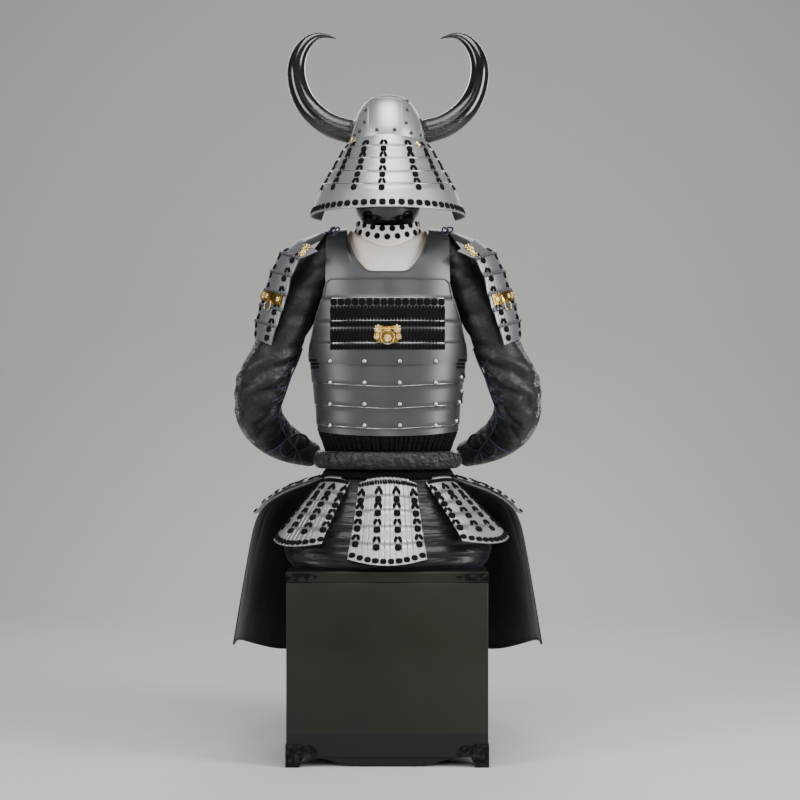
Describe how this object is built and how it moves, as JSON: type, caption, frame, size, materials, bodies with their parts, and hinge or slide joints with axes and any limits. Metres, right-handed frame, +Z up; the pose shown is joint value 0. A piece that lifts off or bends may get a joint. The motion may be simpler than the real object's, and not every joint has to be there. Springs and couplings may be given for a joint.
{
  "type": "samurai armour on its storage chest and head form",
  "caption": "Lamellar samurai armour seated on its lacquered chest: grey steel helmet with black horns, ringed shoulder guards, black lacing, cloth sleeves, flared tassets and thigh guards.",
  "frame": {"origin": "the middle of the chest's underside, on the floor, under the middle bearer", "axes": "+Z is up; +X is the armour's right side; -Y is its back, which faces the camera of the picture"},
  "size_m": [0.7466, 0.5701, 1.728],
  "materials": {
    "lacquered_steel": "satin",
    "dark_steel": "satin",
    "gilt_metal": "polished",
    "black_horn": "polished",
    "black_lacquer": "gloss",
    "chest_lacquer": "satin lacquer",
    "stand_wood": "matt",
    "chest_iron": "satin",
    "pale_leather": "matt",
    "silk_lacing": "matt",
    "black_brocade": "satin",
    "black_satin": "satin",
    "thigh_cloth": "matt"
  },
  "bodies": {
    "armour": {"back_panel": "dark_steel", "back_ring_plate": "gilt_metal", "back_top_plate": "dark_steel", "back_waist_plates": "dark_steel", "base_bearer": "chest_lacquer", "chest_body": "chest_lacquer", "chest_lid": "chest_lacquer", "collar_yoke": "pale_leather", "front_panel": "dark_steel", "front_top_plate": "dark_steel", "front_waist_plates": "dark_steel", "guard_band_left": "gilt_metal", "guard_band_right": "gilt_metal", "head_form": "black_lacquer", "helmet_bowl": "lacquered_steel", "helmet_brim": "gilt_metal", "horn_left": "black_horn", "horn_right": "black_horn", "iron_back_left": "chest_iron", "iron_back_right": "chest_iron", "iron_front_left": "chest_iron", "iron_front_right": "chest_iron", "lid_iron_back_left": "chest_iron", "lid_iron_back_right": "chest_iron", "lid_iron_front_left": "chest_iron", "lid_iron_front_right": "chest_iron", "neck_guard": "lacquered_steel", "seat_cloth": "black_satin", "shoulder_guard_left": "dark_steel", "shoulder_guard_right": "dark_steel", "shoulder_strap_left": "dark_steel", "shoulder_strap_right": "dark_steel", "shoulder_wing_left": "dark_steel", "shoulder_wing_right": "dark_steel", "sleeve_left": "black_brocade", "sleeve_right": "black_brocade", "stand_base": "stand_wood", "stand_post": "stand_wood", "stand_shoulder_board": "stand_wood", "standing_collar": "pale_leather", "tasset_back": "lacquered_steel", "tasset_back_left": "lacquered_steel", "tasset_back_right": "lacquered_steel", "tasset_front_left": "lacquered_steel", "tasset_front_right": "lacquered_steel", "tasset_side_left": "lacquered_steel", "tasset_side_right": "lacquered_steel", "thigh_guard_left": "thigh_cloth", "thigh_guard_right": "thigh_cloth", "waist_lacing": "silk_lacing", "waist_roll": "black_brocade"},
    "back_ring": {"back_ring": "gilt_metal"},
    "guard_ring_left": {"guard_ring_left": "gilt_metal"},
    "guard_ring_right": {"guard_ring_right": "gilt_metal"}
  },
  "joints": [
    {"name": "back_ring_swing", "type": "hinge", "parent": "armour", "child": "back_ring", "pos_m": [0, -0.13954, 0.9975], "axis": [-1, 0, 0], "range_deg": [0, 100]},
    {"name": "guard_ring_left_swing", "type": "hinge", "parent": "armour", "child": "guard_ring_left", "pos_m": [-0.27877, -0.08713, 1.06947], "axis": [-0.6149, 0.7611, 0.2064], "range_deg": [0, 100]},
    {"name": "guard_ring_right_swing", "type": "hinge", "parent": "armour", "child": "guard_ring_right", "pos_m": [0.27877, -0.08713, 1.06947], "axis": [-0.6149, -0.7611, -0.2064], "range_deg": [0, 100]}
  ]
}
